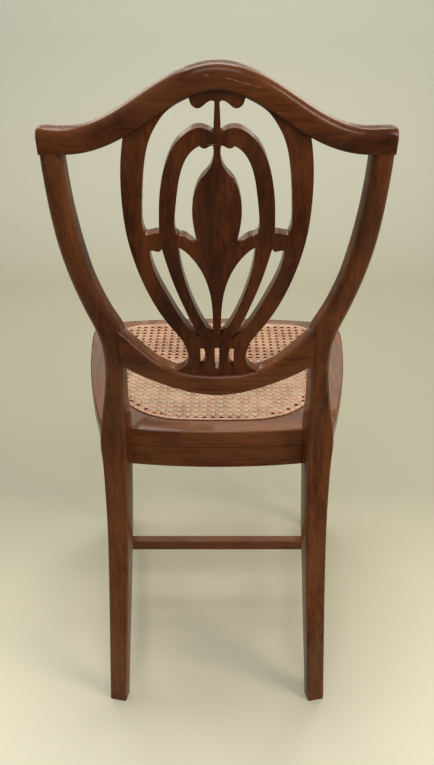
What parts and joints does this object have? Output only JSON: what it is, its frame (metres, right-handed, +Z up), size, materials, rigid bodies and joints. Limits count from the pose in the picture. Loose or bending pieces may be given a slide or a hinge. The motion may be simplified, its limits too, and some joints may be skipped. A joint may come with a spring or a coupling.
{
  "type": "dining chair",
  "caption": "Dining chair with a bowed, shield-shaped open back round a pierced splat, a caned seat, square tapered front legs and swept rear legs joined by stretchers.",
  "frame": {"origin": "on the floor, under the middle of the chair's bounding box", "axes": "+Z up; the sitter faces -Y, so +Y is the back of the chair; +X is the sitter's left"},
  "size_m": [0.4558, 0.537, 0.9622],
  "materials": {
    "show_wood": "dark red-brown polished mahogany finish, worn at the edges",
    "inner_wood": "unfinished pale hardwood, planed",
    "cane": "woven natural cane with an aged satin surface",
    "screw_steel": "plain steel wood screws, slightly dulled"
  },
  "bodies": {
    "root": {"crest_rail": "show_wood", "splat": "show_wood", "lower_shield_rail": "show_wood", "rear_post_left": "show_wood", "rear_post_right": "show_wood", "seat_frame_rear": "show_wood", "seat_frame_front": "show_wood", "seat_frame_left": "show_wood", "seat_frame_right": "show_wood", "apron_rear": "show_wood", "apron_front": "show_wood", "apron_left": "show_wood", "apron_right": "show_wood", "front_leg_left": "show_wood", "front_leg_right": "show_wood", "side_stretcher_left": "show_wood", "side_stretcher_right": "show_wood", "cross_stretcher": "show_wood", "cane_panel": "cane", "cane_binder": "cane", "corner_block_front_left": "inner_wood", "corner_block_front_right": "inner_wood", "corner_block_rear_left": "inner_wood", "corner_block_rear_right": "inner_wood", "block_leg_screws": "screw_steel", "seat_screws": "screw_steel", "seat_frame_dowels": "inner_wood", "front_leg_dowels": "inner_wood", "shield_rail_dowels": "inner_wood"}
  },
  "joints": []
}
